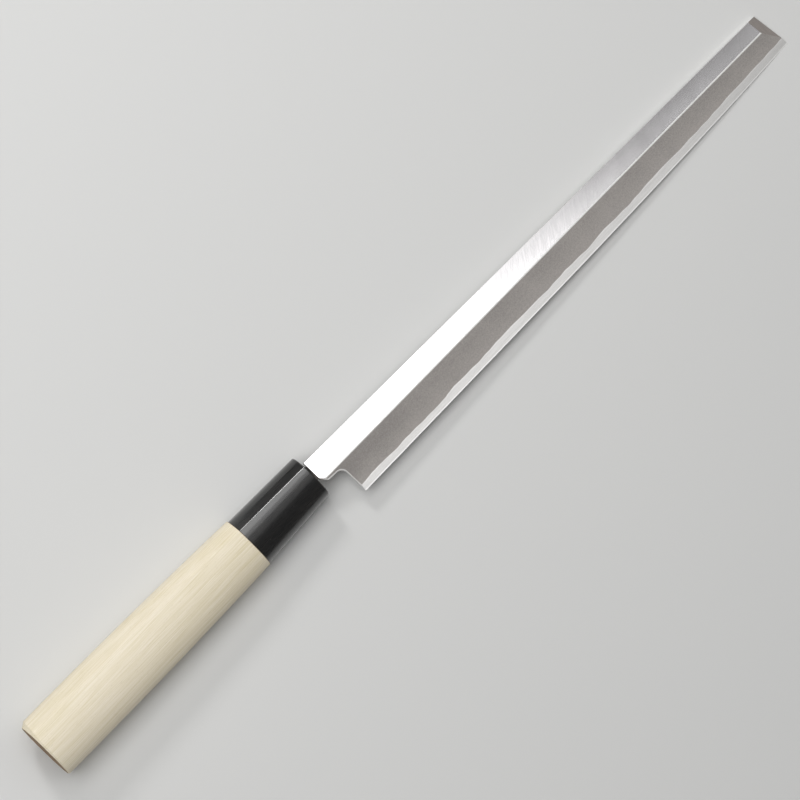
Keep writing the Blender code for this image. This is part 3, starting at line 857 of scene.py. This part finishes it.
def buffaloHorn():
    # polished black horn, with faint browner layers along it and small pits
    made, tree, shader, coords = startMaterial("buffaloHorn")
    layers = streaks(tree, coords, turn=0.0, length=0.030, width=0.0012, seed=5.0)
    fine = streaks(tree, coords, turn=0.05, length=0.009, width=0.00025, seed=8.0)
    share = fade(tree, calc(tree, "MULTIPLY", layers, fine), 0.22, 0.5)
    pits = fade(tree, mottle(tree, coords, size=0.0011, seed=2.0), 0.70, 0.76)
    layered = blendColours(tree, share, horns["black"], horns["streak"])
    setShader(tree, shader, {
        "Base Color": blendColours(tree, pits, layered, horns["pit"]),
        "Roughness": vary(tree, fine, horns["rough"] - 0.03, horns["rough"] + 0.08),
        "Coat Weight": 1.0, "Coat Roughness": horns["coatRough"],
        "Normal": bump(tree, fine, strength=0.06, distance=0.00003),
    })
    return made


def woodLook(centre, normal):
    return "end" if abs(normal.x) > grip["endFacing"] else "side"


def buildHandle():
    ferrule = makePiece("hornFerrule", ferruleBody())
    carve(ferrule, roundBar(grip["tenon"] + grip["seatGap"], -grip["ferrule"] - margin, margin))
    wood = makePiece("magnoliaHandle", woodBody())
    carve(wood, roundBar(grip["tenon"], woodFrontX - margin, -grip["tenonRecess"]), "UNION")
    hole = tangBar(tang["clearance"], tang["holeExtra"])
    hole.transform(bladePlace)
    carve(wood, hole)
    hornLooks, woodLooks = {"horn": buffaloHorn()}, {"side": magnolia(), "end": magnoliaEndShaded()}
    finishPiece(ferrule, "ferrule", grip["crease"], hornLooks, lambda centre, normal: "horn")
    finishPiece(wood, "handle", grip["crease"], woodLooks, woodLook)


studio = {
    "floorSize": 4.0, "floor": (0.68, 0.68, 0.67), "floorRough": 0.9, "floorShine": 0.2, "world": 0.13,
    # each lamp is flat and hangs over the rectangle from low to high
    "lamps": {
        "softbox": {"low": (-1.00, -0.19), "high": (0.34, 0.92), "height": 1.2, "radiance": 1.5},
        "core": {"low": (-1.00, -0.02), "high": (0.255, 0.75), "height": 1.19, "radiance": 1.95},
        "tube": {"low": (0.18, 1.00), "high": (0.42, 1.45), "height": 0.9, "radiance": 30.0},
        "heelPanel": {"low": (-0.10, -0.52), "high": (0.36, -0.21), "height": 1.17, "radiance": 0.38},
        "fill": {"low": (0.34, -0.30), "high": (1.20, 1.10), "height": 1.17, "radiance": 0.35},
        "lowPanel": {"low": (0.42, -0.50), "high": (0.95, -0.12), "height": 1.16, "radiance": 1.14},
    },
}
view = {
    "aim": (0.0451, -0.0040, 0.0), "distance": 3.0, "lean": math.radians(-6.6), "turn": math.radians(-45.88),
    "lens": 350.4, "farthest": 20,
}


def hangLamp(name, low, high, height, radiance):
    light = bpy.data.lights.new(name, "AREA")
    light.shape = "RECTANGLE"
    light.size, light.size_y = high[0] - low[0], high[1] - low[1]
    light.energy = radiance * math.pi * light.size * light.size_y
    lamp = addObject(name, light)
    middle = ((low[0] + high[0]) / 2, (low[1] + high[1]) / 2, height)
    lamp.matrix_world = toTable @ Matrix.Translation(middle)
    lamp.visible_camera = False


def buildStudio():
    bm = bmesh.new()
    bmesh.ops.create_grid(bm, x_segments=1, y_segments=1, size=studio["floorSize"] / 2)
    floor = makePiece("floor", bm)
    paper = bpy.data.materials.new("paper")
    paper.use_nodes = True
    setShader(paper.node_tree, paper.node_tree.nodes["Principled BSDF"], {
        "Base Color": studio["floor"], "Roughness": studio["floorRough"],
        "Specular IOR Level": studio["floorShine"],
    })
    floor.data.materials.append(paper)

    world = bpy.data.worlds.new("room")
    world.use_nodes = True
    world.node_tree.nodes["Background"].inputs["Color"].default_value = (1, 1, 1, 1)
    world.node_tree.nodes["Background"].inputs["Strength"].default_value = studio["world"]
    bpy.context.scene.world = world

    for name, lamp in studio["lamps"].items():
        hangLamp(name, **lamp)
    print("studio ready")


def buildCamera():
    camera = addObject("camera", bpy.data.cameras.new("camera"))
    camera.data.lens = view["lens"]
    camera.data.clip_end = view["farthest"]
    aimed = toTable @ Matrix.Translation(view["aim"]) @ Matrix.Rotation(view["lean"], 4, "Y")
    turned = aimed @ Matrix.Rotation(view["turn"], 4, "Z")
    camera.matrix_world = turned @ Matrix.Translation((0, 0, view["distance"]))
    bpy.context.scene.camera = camera
    bpy.context.scene.view_settings.view_transform = "Standard"
    print("camera ready")


buildBlade()
buildHandle()
buildStudio()
buildCamera()
